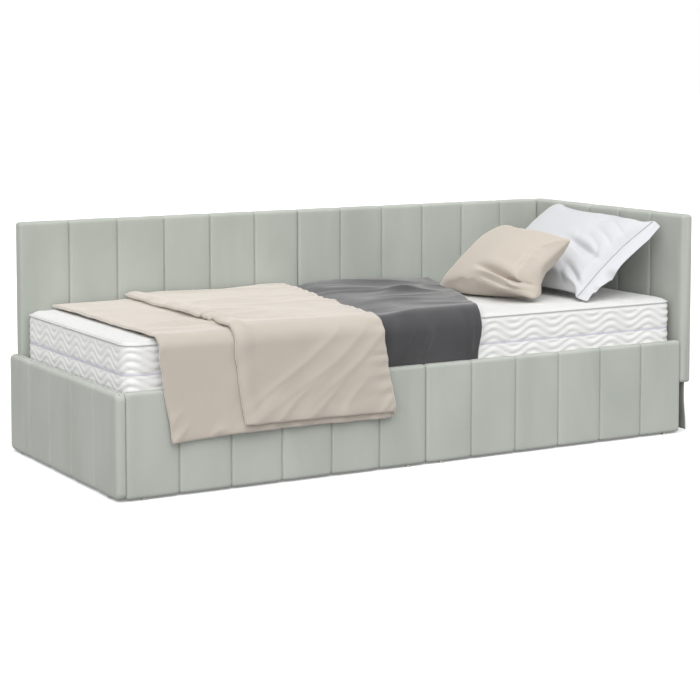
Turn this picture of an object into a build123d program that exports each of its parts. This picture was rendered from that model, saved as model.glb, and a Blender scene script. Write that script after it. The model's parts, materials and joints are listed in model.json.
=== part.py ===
"""Single daybed with two high padded sides, two low padded sides, a slatted base, a mattress and bedding.

Millimetres. +X runs along the bed from the low foot end to the high head end, +Y from the low front rail
to the high back panel, and +Z up. The origin is on the floor, under the middle of the whole footprint.
"""

import math
import os

from build123d import *

# Driving dimensions
mattress_length = 1996.0
mattress_width = 796.0
mattress_height = 200.0
channels_long = 12  # sewn channels along a long side, half of them on each section
channels_short = 5  # sewn channels across an end
base_top = 258.0  # height of the slats' upper face
low_top = 314.0  # height of the foot panel and the front rail
high_top = 737.0  # height of the back and head panels
high_bottom = 170.0  # the high panels hang this far off the floor, on posts
glide_height = 6.0

low_thickness = 24.0
foot_thickness = 28.0
high_thickness = 40.0
end_clearance = 14.0  # between the mattress and each end panel
throw_clearance = 6.0  # between the mattress and the front rail, where the throw is tucked in
back_clearance = 2.0
duvet_overhang = 26.0  # how far the folded duvet stands out in front of the rail

# Padding and boards
wadding = 4.0  # quilted velvet and wadding
lining = 1.5  # plain rear skin
low_board = 12.0
high_board = 15.0
groove_width = 5.0
groove_depth = 3.0
groove_taper = 30.0  # degrees
show_fillet = 8.0
rear_fillet = 2.0
corner_radius = 12.0
foot_corner_radius = 26.0

# Base
slat_thickness = 10.0
slat_width = 68.0
slats_per_pack = 7
tape_thickness = 1.5
tape_width = 30.0
ledger_depth = 25.0
ledger_height = 30.0
beam_thickness = 25.0
beam_height = 60.0
leg_side = 40.0
post_width = 60.0
post_depth = 22.0
post_inset = 110.0  # from a corner of the frame to the middle of a post
post_from_joint = 130.0
head_post_front_inset = 140.0
leg_spread = 175.0  # each centre leg's distance from the middle of the bed
leg_chamfer = 3.0
tape_spread = 270.0
slat_edge = 3.0
small_glide_radius = 9.0
large_glide_radius = 16.0

# Fittings
plate = 3.0
fitting_height = 44.0
fitting_bottom = 172.0
bracket_leg = 60.0
joint_plate_length = 160.0
stirrup_reach = 33.0  # from the rail to the far end of the cross beam's stirrup
lower_plate_bottom = 50.0
bolt_radius = 3.95
bolt_clearance = 4.4
bolt_head_radius = 7.0
bolt_head_height = 4.0
bolt_bite = 11.0  # thread engaged in the board
insert_radius = 5.5
insert_bore = 4.05
insert_hole = 5.55

# Places worked out from the above
inside_length = mattress_length + 2 * end_clearance
section_gap = 2.0
section_length = (inside_length - section_gap) / 2
back_face = low_thickness + throw_clearance + mattress_width + back_clearance
frame_depth = back_face + high_thickness
overall_length = foot_thickness + inside_length + high_thickness
x0 = -overall_length / 2 + foot_thickness  # inner face of the foot panel
x1 = x0 + inside_length  # inner face of the head panel
y0 = -(frame_depth + duvet_overhang) / 2 + duvet_overhang  # outer face of the front rail
y_rail = y0 + low_thickness  # inner face of the front rail
y_back = y0 + back_face  # front face of the back panel
y1 = y0 + frame_depth  # rear face of the back panel
x_mid = (x0 + x1) / 2
y_mid = (y0 + y1) / 2
ledger_top = base_top - slat_thickness
ledger_bottom = ledger_top - ledger_height
fitting_middle = fitting_bottom + fitting_height / 2
low_height = low_top - glide_height
high_height = high_top - high_bottom
mattress_top = base_top + mattress_height

FRONT = (0, -1, 0)
BACK = (0, 1, 0)
LEFT = (-1, 0, 0)
RIGHT = (1, 0, 0)


def save(part, name):
    """Label a finished piece and write its STEP file."""
    part.label = name
    export_step(part, f"parts/{name}.step")


def block(low, high):
    """A plain box between two corners, as a part of its own."""
    size = [b - a for a, b in zip(low, high)]
    with BuildPart(Plane(origin=low)) as piece:
        Box(*size, align=(Align.MIN, Align.MIN, Align.MIN))
    return piece


# ---------------------------------------------------------------- fasteners: where each one goes


class Seat:
    """A bolt: the middle of its head's underside, the way it points, and what it passes before the board."""

    def __init__(self, point, into, before_board):
        self.point = Vector(*point)
        self.into = Vector(*into)
        self.before_board = before_board

    def head_plane(self):
        return Plane(origin=self.point, z_dir=self.into * -1)

    def board_plane(self):
        return Plane(origin=self.point + self.into * self.before_board, z_dir=self.into)


rail_skin = lining
panel_skin = high_thickness - high_board - lining  # wadding and foam in front of a high board
bolt_steps = (22.0, 46.0)  # from the corner, along each leg of a corner bracket
joint_steps = (-65.0, -30.0, 30.0, 65.0)


def corner_seats(x, x_way, y, y_way, x_into, x_skin, y_into, y_skin):
    """The four bolts of the bracket in the corner at (x, y), whose legs run along x_way and y_way."""
    found = []
    for step in bolt_steps:
        found.append(Seat((x + x_way * step, y + y_way * plate, fitting_middle), y_into, plate + y_skin))
        found.append(Seat((x + x_way * plate, y + y_way * step, fitting_middle), x_into, plate + x_skin))
    return found


corner_bolt_seats = (
    corner_seats(x0, 1, y_rail, 1, LEFT, rail_skin, FRONT, rail_skin)
    + corner_seats(x1, -1, y_rail, 1, RIGHT, panel_skin, FRONT, rail_skin)
    + corner_seats(x0, 1, y_back, -1, LEFT, rail_skin, BACK, panel_skin)
    + corner_seats(x1, -1, y_back, -1, RIGHT, panel_skin, BACK, panel_skin)
)
joint_bolt_seats = []
for joint_step in joint_steps:
    bolt_x = x_mid + joint_step
    lower_z = lower_plate_bottom + fitting_height / 2
    joint_bolt_seats.append(Seat((bolt_x, y_rail + plate, fitting_middle), FRONT, plate + rail_skin))
    joint_bolt_seats.append(Seat((bolt_x, y_rail + plate, lower_z), FRONT, plate + rail_skin))
    joint_bolt_seats.append(Seat((bolt_x, y_back - plate, fitting_middle), BACK, plate + panel_skin))

back_post_x = [x0 + post_inset, x_mid - post_from_joint, x_mid + post_from_joint, x1 - post_inset]
head_post_y = [y0 + head_post_front_inset, y_back - post_inset]
post_bolt_seats = []
for post_x in back_post_x:
    for side in (-1, 1):
        seat_point = (post_x + side * post_width / 4, y_back - post_depth, fitting_middle)
        post_bolt_seats.append(Seat(seat_point, BACK, post_depth + panel_skin))
for post_y in head_post_y:
    for side in (-1, 1):
        seat_point = (x1 - post_depth, post_y + side * post_width / 4, fitting_middle)
        post_bolt_seats.append(Seat(seat_point, RIGHT, post_depth + panel_skin))

ledger_gap = 22.0  # each side of the middle, for the cross beam's hanger
ledger_end = 4.0
ledger_bolt_shares = (0.12, 0.5, 0.88)  # of the ledger's length
ledger_spans = {
    "left": (x0 + ledger_end, x_mid - ledger_gap),
    "right": (x_mid + ledger_gap, x1 - ledger_end),
}
ledger_bolt_z = ledger_bottom + ledger_height / 2
ledger_bolt_seats = []
for low_x, high_x in ledger_spans.values():
    for share in ledger_bolt_shares:
        bolt_x = low_x + share * (high_x - low_x)
        ledger_bolt_seats.append(
            Seat((bolt_x, y_rail + ledger_depth, ledger_bolt_z), FRONT, ledger_depth + rail_skin)
        )
        ledger_bolt_seats.append(
            Seat((bolt_x, y_back - ledger_depth, ledger_bolt_z), BACK, ledger_depth + panel_skin)
        )
all_seats = corner_bolt_seats + joint_bolt_seats + post_bolt_seats + ledger_bolt_seats


# ---------------------------------------------------------------- upholstered panels


class Panel:
    """One padded panel: its show face's plane, whose origin is the lower corner, and its sizes."""

    def __init__(
        self, name, origin, x_dir, normal, width, height, thickness, board, channels, radius, bolted_behind
    ):
        self.name = name
        self.plane = Plane(origin=origin, x_dir=x_dir, z_dir=normal)
        self.width = width
        self.height = height
        self.thickness = thickness
        self.board = board
        self.channels = channels
        self.radius = radius
        self.bolted_behind = bolted_behind

    def slab(self, inset, front, depth):
        """A rounded slab, inset from the panel's outline, that starts a distance behind the show face."""
        with BuildPart() as piece:
            with BuildSketch(self.plane.offset(-front)):
                with Locations((self.width / 2, self.height / 2)):
                    RectangleRounded(
                        self.width - 2 * inset, self.height - 2 * inset, max(self.radius - inset, 1.0)
                    )
            extrude(amount=-depth)
        return piece

    def bolt_points(self):
        """The bolts that end in this panel's board, as points on the show face."""
        board_face = -self.thickness + lining if self.bolted_behind else -self.thickness + lining + self.board
        found = []
        for seat in all_seats:
            local = self.plane.to_local_coords(seat.board_plane().origin)
            inside = 0 < local.X < self.width and 0 < local.Y < self.height
            if inside and abs(local.Z - board_face) < 1e-6:
                found.append((local.X, local.Y))
        return found

    def pins(self, radius, front, depth):
        """A cylinder at each bolt, from a distance behind the show face, for cutting the bolt holes."""
        with BuildPart() as tool:
            with BuildSketch(self.plane.offset(-front)):
                with Locations(*self.bolt_points()):
                    Circle(radius)
            extrude(amount=-depth)
        return tool.part

    def make_cover(self):
        """Quilted velvet sock: round all over, a groove at each seam, hollow for the foam and the board."""
        with BuildPart() as cover:
            add(self.slab(0, 0, self.thickness).part)
            by_depth = cover.faces().sort_by(Axis(self.plane.origin, self.plane.z_dir))
            fillet(by_depth[-1].edges(), show_fillet)
            by_depth = cover.faces().sort_by(Axis(self.plane.origin, self.plane.z_dir))
            fillet(by_depth[0].edges(), rear_fillet)
            with BuildSketch(self.plane):
                pitch = self.width / self.channels
                seams = [(pitch * i, self.height / 2) for i in range(1, self.channels)]
                with Locations(*seams):
                    Rectangle(groove_width, self.height + 2 * groove_depth)
            extrude(amount=-groove_depth, taper=groove_taper, mode=Mode.SUBTRACT)
            hollow = self.thickness - wadding - lining
            add(self.slab(wadding, wadding, hollow).part, mode=Mode.SUBTRACT)
            if self.bolted_behind:
                add(self.pins(bolt_clearance, self.thickness - lining, lining), mode=Mode.SUBTRACT)
            else:
                add(self.pins(bolt_clearance, 0, wadding), mode=Mode.SUBTRACT)
        return cover

    def make_foam(self):
        foam_depth = self.thickness - wadding - self.board - lining
        with BuildPart() as foam:
            add(self.slab(wadding, wadding, foam_depth).part)
            if not self.bolted_behind:
                add(self.pins(bolt_clearance, wadding, foam_depth), mode=Mode.SUBTRACT)
        return foam

    def make_board(self):
        front = self.thickness - lining - self.board
        with BuildPart() as board:
            add(self.slab(wadding, front, self.board).part)
            add(self.pins(insert_hole, front, self.board), mode=Mode.SUBTRACT)
        return board

    def export(self):
        save(self.make_cover().part, f"{self.name}_cover")
        save(self.make_foam().part, f"{self.name}_foam")
        save(self.make_board().part, f"{self.name}_board")


half = channels_long // 2
left_x = x0
right_x = x1 - section_length
panels = [
    Panel("foot_panel", (x0 - foot_thickness, y1, glide_height), FRONT, LEFT,
          frame_depth, low_height, foot_thickness, low_board, channels_short, foot_corner_radius, True),
    Panel("front_rail_left", (left_x, y0, glide_height), RIGHT, FRONT,
          section_length, low_height, low_thickness, low_board, half, corner_radius, True),
    Panel("front_rail_right", (right_x, y0, glide_height), RIGHT, FRONT,
          section_length, low_height, low_thickness, low_board, half, corner_radius, True),
    Panel("back_panel_left", (left_x, y_back, high_bottom), RIGHT, FRONT,
          section_length, high_height, high_thickness, high_board, half, corner_radius, False),
    Panel("back_panel_right", (right_x, y_back, high_bottom), RIGHT, FRONT,
          section_length, high_height, high_thickness, high_board, half, corner_radius, False),
    Panel("head_panel", (x1, y1, high_bottom), FRONT, LEFT,
          frame_depth, high_height, high_thickness, high_board, channels_short, corner_radius, False),
]


# ---------------------------------------------------------------- fittings


def make_bolts(seats):
    """Button-head bolts, one solid each."""
    with BuildPart() as bolts:
        for seat in seats:
            with BuildSketch(seat.head_plane()):
                Circle(bolt_head_radius)
            extrude(amount=bolt_head_height)
            with BuildSketch(seat.head_plane()):
                Circle(bolt_radius)
            extrude(amount=-(seat.before_board + bolt_bite))
    return bolts


def make_inserts(seats):
    """Threaded sleeves pressed into the boards, one under each bolt."""
    with BuildPart() as inserts:
        for seat in seats:
            with BuildSketch(seat.board_plane()):
                Circle(insert_radius)
                Circle(insert_bore, mode=Mode.SUBTRACT)
            extrude(amount=bolt_bite)
    return inserts


def make_corner_bracket(x, x_way, y, y_way):
    """Steel angle that stands in a corner of the frame, one leg on each of the two panels."""
    with BuildPart() as bracket:
        with BuildSketch(Plane.XY.offset(fitting_bottom)):
            with BuildLine():
                Polyline(
                    (x, y),
                    (x + x_way * bracket_leg, y),
                    (x + x_way * bracket_leg, y + y_way * plate),
                    (x + x_way * plate, y + y_way * plate),
                    (x + x_way * plate, y + y_way * bracket_leg),
                    (x, y + y_way * bracket_leg),
                    close=True,
                )
            make_face()
        extrude(amount=fitting_height)
        for step in bolt_steps:
            along_x = Plane(origin=(x + x_way * step, y, fitting_middle), z_dir=(0, y_way, 0))
            along_y = Plane(origin=(x, y + y_way * step, fitting_middle), z_dir=(x_way, 0, 0))
            for hole_plane in (along_x, along_y):
                with BuildSketch(hole_plane):
                    Circle(bolt_clearance)
                extrude(amount=plate, mode=Mode.SUBTRACT)
    return bracket


def make_bracket_pair(x, x_way):
    """The front and back corner brackets of one end."""
    with BuildPart() as pair:
        add(make_corner_bracket(x, x_way, y_rail, 1).part)
        add(make_corner_bracket(x, x_way, y_back, -1).part)
    return pair


def make_joint_plate(y, y_way, bottom, with_hanger):
    """Flat plate across the joint of two sections. The upper ones carry the cross beam in a stirrup."""
    with BuildPart() as fitting:
        with Locations((x_mid, y + y_way * plate / 2, bottom + fitting_height / 2)):
            Box(joint_plate_length, plate, fitting_height)
        if with_hanger:
            middle_y = y + y_way * stirrup_reach / 2
            stirrup_bottom = ledger_top - beam_height - plate
            stirrup_height = ledger_top - stirrup_bottom
            stirrup_middle = stirrup_bottom + stirrup_height / 2
            with Locations((x_mid, middle_y, stirrup_middle)):
                Box(beam_thickness + 2 * plate, stirrup_reach, stirrup_height)
            with Locations((x_mid, middle_y + y_way * plate / 2, stirrup_middle + plate / 2)):
                Box(beam_thickness, stirrup_reach - plate, beam_height, mode=Mode.SUBTRACT)
        hole_plane = Plane(origin=(x_mid, y, bottom + fitting_height / 2), x_dir=RIGHT, z_dir=(0, y_way, 0))
        with BuildSketch(hole_plane):
            with Locations(*[(step, 0) for step in joint_steps]):
                Circle(bolt_clearance)
        extrude(amount=plate, mode=Mode.SUBTRACT)
    return fitting


# ---------------------------------------------------------------- slatted base


def make_post(x, y, along_x, seats):
    """Wooden post bolted to the inner face of a high panel, down to its glide."""
    size_x = post_width if along_x else post_depth
    size_y = post_depth if along_x else post_width
    with BuildPart() as post:
        with Locations((x, y, (glide_height + ledger_bottom) / 2)):
            Box(size_x, size_y, ledger_bottom - glide_height)
        for seat in seats:
            with BuildSketch(seat.head_plane()):
                Circle(bolt_clearance)
            extrude(amount=-post_depth, mode=Mode.SUBTRACT)
    return post


def make_back_posts(places):
    """The two posts under one section of the back panel."""
    with BuildPart() as pair:
        for post_x in places:
            seats = [s for s in post_bolt_seats if abs(s.point.X - post_x) < post_width / 2]
            add(make_post(post_x, y_back - post_depth / 2, True, seats).part)
    return pair


def make_ledger(low_x, high_x, y, y_way):
    """Wooden batten along a long side, which carries the slats' ends."""
    with BuildPart() as ledger:
        with Locations(((low_x + high_x) / 2, y + y_way * ledger_depth / 2, ledger_bolt_z)):
            Box(high_x - low_x, ledger_depth, ledger_height)
        for seat in ledger_bolt_seats:
            on_this_side = abs(seat.point.Y - (y + y_way * ledger_depth)) < 1
            if on_this_side and low_x < seat.point.X < high_x:
                with BuildSketch(seat.head_plane()):
                    Circle(bolt_clearance)
                extrude(amount=-ledger_depth, mode=Mode.SUBTRACT)
    return ledger


def make_beam():
    """Wooden cross beam under the middle of the bed, end to end in the two stirrups."""
    low = (x_mid - beam_thickness / 2, y_rail + plate, ledger_top - beam_height)
    high = (x_mid + beam_thickness / 2, y_back - plate, ledger_top)
    return block(low, high)


centre_leg_y = [y_mid - leg_spread, y_mid + leg_spread]


def make_centre_leg(y):
    leg_height = ledger_top - beam_height - glide_height
    with BuildPart() as leg:
        with Locations((x_mid, y, glide_height + leg_height / 2)):
            Box(leg_side, leg_side, leg_height)
        chamfer(leg.edges().filter_by(Axis.Z), leg_chamfer)
    return leg


slat_pitch = inside_length / (2 * slats_per_pack)
slat_side_gap = 2.0
slat_low_y = y_rail + slat_side_gap
slat_high_y = y_back - slat_side_gap


def slat_x(index):
    return x0 + slat_pitch * (index + 0.5)


def make_slats(first):
    """One pack of bent-ply slats, each a solid of its own, with rounded long edges."""
    with BuildPart() as pack:
        for index in range(first, first + slats_per_pack):
            with Locations((slat_x(index), (slat_low_y + slat_high_y) / 2, ledger_top + slat_thickness / 2)):
                Box(slat_width, slat_high_y - slat_low_y, slat_thickness)
        fillet(pack.edges().filter_by(Axis.Y), slat_edge)
    return pack


def make_tapes(first):
    """The pack's two webbing tapes, stapled to the slats' undersides."""
    low_x = slat_x(first) - slat_width / 2
    high_x = slat_x(first + slats_per_pack - 1) + slat_width / 2
    with BuildPart() as tapes:
        for tape_y in (y_mid - tape_spread, y_mid + tape_spread):
            with Locations(((low_x + high_x) / 2, tape_y, ledger_top - tape_thickness / 2)):
                Box(high_x - low_x, tape_width, tape_thickness)
    return tapes


rail_glide_inset = 60.0
foot_glide_inset = 80.0


def make_glides():
    """Plastic glides: under the rail sections, the foot panel, the posts and the centre legs."""
    rail_y = (y0 + y_rail) / 2
    small = []
    for start in (left_x, right_x):
        small.append((start + rail_glide_inset, rail_y))
        small.append((start + section_length - rail_glide_inset, rail_y))
    for foot_y in (y0 + foot_glide_inset, y1 - foot_glide_inset):
        small.append((x0 - foot_thickness / 2, foot_y))
    for post_x in back_post_x:
        small.append((post_x, y_back - post_depth / 2))
    for post_y in head_post_y:
        small.append((x1 - post_depth / 2, post_y))
    large = [(x_mid, leg_y) for leg_y in centre_leg_y]
    with BuildPart() as glides:
        with BuildSketch():
            with Locations(*small):
                Circle(small_glide_radius)
            with Locations(*large):
                Circle(large_glide_radius)
        extrude(amount=glide_height)
    return glides


# ---------------------------------------------------------------- dust skirts

skirt_thickness = 2.0
skirt_setback = 16.0
skirt_hem = 8.0
skirt_front_gap = 12.0  # from the head skirt's front end to the front of the frame
skirt_back_gap = 20.0
skirt_end_gap = 4.0


def make_head_skirt():
    low = (x1 + high_thickness - skirt_setback, y0 + skirt_front_gap, skirt_hem)
    high = (low[0] + skirt_thickness, y1 - skirt_back_gap, high_bottom)
    return block(low, high)


def make_back_skirt(start):
    low = (start + skirt_end_gap, y1 - skirt_setback - skirt_thickness, skirt_hem)
    high = (start + section_length - skirt_end_gap, y1 - skirt_setback, high_bottom)
    return block(low, high)


# ---------------------------------------------------------------- mattress

mattress_corner = 46.0
mattress_edge = 16.0
cover_thickness = 10.0
topper = 25.0
edge_foam = 60.0
zip_height = 5.0
zip_depth = 2.0
mattress_x = x_mid
mattress_y = y_rail + throw_clearance + mattress_width / 2
core_bottom = base_top + cover_thickness
core_height = mattress_height - 2 * cover_thickness
spring_height = core_height - 2 * topper
spring_radius = 43.0
springs_across = 7
springs_along = 20


def mattress_slab(inset, bottom, height):
    """A rounded slab of the mattress's outline, drawn in by an inset."""
    with BuildPart() as slab:
        with BuildSketch(Plane.XY.offset(bottom)):
            with Locations((mattress_x, mattress_y)):
                RectangleRounded(
                    mattress_length - 2 * inset, mattress_width - 2 * inset, mattress_corner - inset
                )
        extrude(amount=height)
    return slab


def zip_band():
    band_bottom = base_top + (mattress_height - zip_height) / 2
    with BuildPart() as band:
        add(mattress_slab(0, band_bottom, zip_height).part)
        add(mattress_slab(zip_depth, band_bottom, zip_height).part, mode=Mode.SUBTRACT)
    return band


def make_mattress_cover():
    """Quilted cover, closed by a zip that runs round it at half height."""
    with BuildPart() as cover:
        add(mattress_slab(0, base_top, mattress_height).part)
        by_height = cover.faces().sort_by(Axis.Z)
        fillet(by_height[0].edges() + by_height[-1].edges(), mattress_edge)
        add(mattress_slab(cover_thickness, core_bottom, core_height).part, mode=Mode.SUBTRACT)
        add(zip_band().part, mode=Mode.SUBTRACT)
    return cover


def make_edge_foam():
    with BuildPart() as frame:
        add(mattress_slab(cover_thickness, core_bottom + topper, spring_height).part)
        with Locations((mattress_x, mattress_y, core_bottom + topper + spring_height / 2)):
            Box(
                mattress_length - 2 * (cover_thickness + edge_foam),
                mattress_width - 2 * (cover_thickness + edge_foam),
                spring_height,
                mode=Mode.SUBTRACT,
            )
    return frame


def make_spring_core():
    """Pocketed springs, each in its fabric pocket, drawn as the pocket's outer shape."""
    pitch_x = (mattress_length - 2 * (cover_thickness + edge_foam)) / springs_along
    pitch_y = (mattress_width - 2 * (cover_thickness + edge_foam)) / springs_across
    with BuildPart() as core:
        with BuildSketch(Plane.XY.offset(core_bottom + topper)):
            with Locations((mattress_x, mattress_y)):
                with GridLocations(pitch_x, pitch_y, springs_along, springs_across):
                    Circle(spring_radius)
        extrude(amount=spring_height)
    return core


# ---------------------------------------------------------------- bedding

throw_thickness = 3.0
throw_lift = 1.0
throw_left = x0 + 760
throw_front_right = x0 + 1210  # where the slanting right edge meets the front
throw_back_right = x0 + 1505
throw_back_y = y_back - 28
throw_front_y = y_rail + (throw_clearance - throw_thickness) / 2
throw_hem = 285.0

duvet_layer = 12.0
duvet_left = x0 + 125
duvet_fold = x0 + 350
duvet_right = x0 + 900
duvet_back_y = y_back - 18
duvet_gap = 1.0
duvet_rail_gap = 2.0
duvet_bottom = mattress_top + throw_lift + throw_thickness + duvet_gap
duvet_hem = 165.0
duvet_hem_step = 12.0
duvet_skin = 2.0


def make_throw():
    """Thin blanket over the mattress, its front tucked down between the mattress and the rail."""
    bottom = mattress_top + throw_lift
    with BuildPart() as sheet:
        with BuildSketch(Plane(origin=(throw_left, 0, 0), x_dir=BACK, z_dir=RIGHT)):
            with BuildLine():
                Polyline(
                    (throw_front_y, throw_hem),
                    (throw_front_y + throw_thickness, throw_hem),
                    (throw_front_y + throw_thickness, bottom),
                    (throw_back_y, bottom),
                    (throw_back_y, bottom + throw_thickness),
                    (throw_front_y, bottom + throw_thickness),
                    close=True,
                )
            make_face()
        extrude(amount=throw_back_right - throw_left)
        with BuildSketch():
            with BuildLine():
                Polyline(
                    (throw_front_right, throw_front_y),
                    (x1, throw_front_y),
                    (x1, throw_back_y),
                    (throw_back_right, throw_back_y),
                    close=True,
                )
            make_face()
        extrude(amount=2 * mattress_top, mode=Mode.SUBTRACT)
    return sheet


def duvet_layer_solid(left, layers_below, hem, inset):
    """One layer of the folded duvet: flat on the bed, bent at the front edge, and down over the rail."""
    bottom = duvet_bottom + layers_below * duvet_layer
    front = y0 - duvet_rail_gap - layers_below * duvet_layer
    outer = duvet_layer - inset
    with BuildPart() as layer:
        with BuildSketch(Plane(origin=(left + inset, 0, 0), x_dir=BACK, z_dir=RIGHT)):
            with BuildLine():
                Polyline(
                    (front - inset, hem + inset),
                    (front - inset, bottom + inset),
                    (duvet_back_y - inset, bottom + inset),
                    (duvet_back_y - inset, bottom + outer),
                    (front - outer, bottom + outer),
                    (front - outer, hem + inset),
                    close=True,
                )
            make_face()
        extrude(amount=duvet_right - left - 2 * inset)
    return layer


def make_duvet_cover(filling):
    with BuildPart() as cover:
        add(duvet_layer_solid(duvet_left, 0, duvet_hem, 0).part)
        add(duvet_layer_solid(duvet_fold, 1, duvet_hem + duvet_hem_step, 0).part)
        add(filling, mode=Mode.SUBTRACT)
    return cover


def make_duvet_filling():
    """Quilted filling inside both layers of the folded cover."""
    with BuildPart() as filling:
        add(duvet_layer_solid(duvet_left, 0, duvet_hem, duvet_skin).part)
        add(duvet_layer_solid(duvet_fold, 1, duvet_hem + duvet_hem_step, duvet_skin).part)
    return filling


case_thickness = 2.0
pillow_edge = 8.0  # half the thickness of the edge band
pillow_belly = 60.0  # half the thickness in the middle
pillow_corner = 36.0
pillow_shoulder = 1.0  # step between the edge band and the crown
crown_corner = 60.0
crown_share = (0.48, 0.58)  # size of the crown's flat, as shares of the pillow
pillow_clearance = 2.0
white_pillow_x = x1 - 180
white_pillow_y = y0 + 385
beige_pillow_x = white_pillow_x - 259
beige_pillow_y = y0 + 362
pillow_lean = 37.0
lean_cos = math.cos(math.radians(pillow_lean))
lean_sin = math.sin(math.radians(pillow_lean))


def pillow_solid(plane, length, width, edge, belly):
    """A pillow: a thin rounded edge band, with a crown lofted up and another lofted down from it."""
    with BuildPart() as pillow:
        with BuildSketch(plane.offset(-edge)):
            RectangleRounded(length, width, pillow_corner)
        extrude(amount=2 * edge)
        for side in (-1, 1):
            with BuildSketch(plane.offset(side * edge)):
                RectangleRounded(
                    length - 2 * pillow_shoulder, width - 2 * pillow_shoulder, pillow_corner - pillow_shoulder
                )
            with BuildSketch(plane.offset(side * belly)):
                RectangleRounded(crown_share[0] * length, crown_share[1] * width, crown_corner)
            loft()
    return pillow


def leaning_plane(x, y, length):
    """Middle plane of a pillow that leans back towards the head panel, its low edge on the mattress."""
    z = mattress_top + pillow_clearance + lean_sin * length / 2 + lean_cos * pillow_edge
    return Plane(origin=(x, y, z), x_dir=(lean_cos, 0, lean_sin), z_dir=(-lean_sin, 0, lean_cos))


def export_pillow(name, x, y, length, width):
    plane = leaning_plane(x, y, length)
    inner = pillow_solid(
        plane,
        length - 4 * case_thickness,
        width - 4 * case_thickness,
        pillow_edge - case_thickness,
        pillow_belly - case_thickness,
    )
    with BuildPart() as case:
        add(pillow_solid(plane, length, width, pillow_edge, pillow_belly).part)
        add(inner.part, mode=Mode.SUBTRACT)
    save(case.part, f"{name}_case")
    save(inner.part, f"{name}_filling")


# ---------------------------------------------------------------- everything, written out


def main():
    os.makedirs("parts", exist_ok=True)
    for panel in panels:
        panel.export()

    save(make_bracket_pair(x0, 1).part, "corner_brackets_foot")
    save(make_bracket_pair(x1, -1).part, "corner_brackets_head")
    save(make_joint_plate(y_rail, 1, fitting_bottom, True).part, "front_joint_hanger")
    save(make_joint_plate(y_back, -1, fitting_bottom, True).part, "back_joint_hanger")
    save(make_joint_plate(y_rail, 1, lower_plate_bottom, False).part, "front_joint_plate")
    save(make_bolts(corner_bolt_seats + joint_bolt_seats).part, "panel_bolts")
    save(make_bolts(post_bolt_seats + ledger_bolt_seats).part, "base_bolts")
    save(make_inserts(all_seats).part, "threaded_inserts")

    save(make_back_posts(back_post_x[:2]).part, "back_posts_left")
    save(make_back_posts(back_post_x[2:]).part, "back_posts_right")
    for label, post_y in zip(("front", "back"), head_post_y):
        seats = [s for s in post_bolt_seats if abs(s.point.Y - post_y) < post_width / 2]
        post = make_post(x1 - post_depth / 2, post_y, False, seats)
        save(post.part, f"head_post_{label}")

    for side, (low_x, high_x) in ledger_spans.items():
        save(make_ledger(low_x, high_x, y_rail, 1).part, f"front_ledger_{side}")
        save(make_ledger(low_x, high_x, y_back, -1).part, f"back_ledger_{side}")
    save(make_beam().part, "cross_beam")
    for label, leg_y in zip(("front", "back"), centre_leg_y):
        save(make_centre_leg(leg_y).part, f"centre_leg_{label}")
    for side, first in (("foot", 0), ("head", slats_per_pack)):
        save(make_slats(first).part, f"slats_{side}")
        save(make_tapes(first).part, f"slat_tapes_{side}")
    save(make_glides().part, "floor_glides")

    save(make_head_skirt().part, "head_skirt")
    save(make_back_skirt(left_x).part, "back_skirt_left")
    save(make_back_skirt(right_x).part, "back_skirt_right")

    save(make_mattress_cover().part, "mattress_cover")
    save(zip_band().part, "mattress_zip")
    save(mattress_slab(cover_thickness, core_bottom, topper).part, "mattress_foam_bottom")
    save(mattress_slab(cover_thickness, core_bottom + core_height - topper, topper).part, "mattress_foam_top")
    save(make_edge_foam().part, "mattress_foam_edge")
    save(make_spring_core().part, "mattress_spring_core")

    save(make_throw().part, "throw")
    filling = make_duvet_filling()
    save(make_duvet_cover(filling.part).part, "duvet_cover")
    save(filling.part, "duvet_filling")
    export_pillow("white_pillow", white_pillow_x, white_pillow_y, 430, 620)
    export_pillow("beige_pillow", beige_pillow_x, beige_pillow_y, 350, 430)


main()
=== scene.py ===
# %% [markdown]
# # A channel-quilted daybed, made up with its bedding
# The steel, wood and boards of this bed come finished from the CAD frame. What is left for Blender is
# everything soft: velvet panels, a knitted mattress, a throw, a duvet and two pillows. Each of them is a
# surface with a formula, and each formula says how the cloth is cut, stuffed and pulled.

import json
import math

import bpy
import numpy as np
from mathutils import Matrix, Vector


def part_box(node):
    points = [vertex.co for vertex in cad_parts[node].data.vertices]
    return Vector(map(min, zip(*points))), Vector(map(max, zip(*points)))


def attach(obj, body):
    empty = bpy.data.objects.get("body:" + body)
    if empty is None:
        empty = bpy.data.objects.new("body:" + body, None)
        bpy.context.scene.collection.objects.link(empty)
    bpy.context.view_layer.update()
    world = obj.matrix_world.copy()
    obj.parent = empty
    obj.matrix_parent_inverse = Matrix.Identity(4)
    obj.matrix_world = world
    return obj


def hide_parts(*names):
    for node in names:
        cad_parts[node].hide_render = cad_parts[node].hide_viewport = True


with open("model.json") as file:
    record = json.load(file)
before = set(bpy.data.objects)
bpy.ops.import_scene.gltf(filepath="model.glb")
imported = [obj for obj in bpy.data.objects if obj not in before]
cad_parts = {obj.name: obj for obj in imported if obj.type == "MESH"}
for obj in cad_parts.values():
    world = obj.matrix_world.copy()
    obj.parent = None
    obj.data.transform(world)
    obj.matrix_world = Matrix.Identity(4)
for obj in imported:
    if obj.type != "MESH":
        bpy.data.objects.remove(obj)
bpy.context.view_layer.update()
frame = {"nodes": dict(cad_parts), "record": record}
scene = bpy.context.scene

# %% [markdown]
# ## Camera
# A long lens, a little above the bed, looks at the open side and the foot. Part of the downward look is a
# lens shift, as on a view camera, which keeps the uprights of the bed nearly parallel.

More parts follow.
